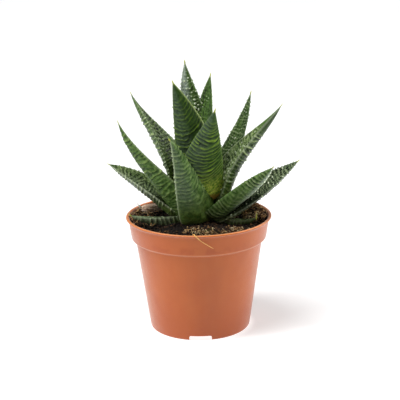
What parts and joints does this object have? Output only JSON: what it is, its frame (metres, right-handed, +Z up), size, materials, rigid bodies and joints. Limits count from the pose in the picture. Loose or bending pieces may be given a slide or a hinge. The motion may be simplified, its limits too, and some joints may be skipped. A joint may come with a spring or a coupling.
{
  "type": "potted haworthia",
  "caption": "Succulent rosette of thick, pointed, ridged leaves in soil in a small tapered nursery pot with a collar rim; a shelf or table ornament.",
  "frame": {"origin": "middle of the pot's underside, on the surface it stands on", "axes": "+Z up along the pot's axis, -Y towards the front of the plant, +X to its right as seen from the front"},
  "size_m": [0.1089, 0.0891, 0.1557],
  "materials": {
    "pot": "terracotta-coloured moulded plastic, satin",
    "soil": "dark peaty potting mix, crumbly and matte",
    "leaf": "green succulent skin with raised paler ridges, satin",
    "stem": "short pale stem and roots, matte",
    "bark": "weathered bark chip, matte",
    "straw": "dry plant fibre, matte"
  },
  "bodies": {
    "root": {"pot": "pot", "stem": "stem", "leaf_bud": "leaf", "leaf_inner_back": "leaf", "leaf_inner_right": "leaf", "leaf_inner_front": "leaf", "leaf_front_right": "leaf", "leaf_right_tall": "leaf", "leaf_left_tall": "leaf", "leaf_right_back": "leaf", "leaf_back_tall": "leaf", "leaf_back_left": "leaf", "leaf_back_right": "leaf", "leaf_front": "leaf", "leaf_left_mid": "leaf", "leaf_right_outer": "leaf", "leaf_right_front": "leaf", "leaf_right_low": "leaf", "leaf_left_low": "leaf", "leaf_back_low": "leaf", "leaf_right_under": "leaf", "leaf_left_under": "leaf", "leaf_small_left": "leaf", "leaf_small_right": "leaf", "bark_chip": "bark", "straw": "straw", "soil": "soil"}
  },
  "joints": []
}
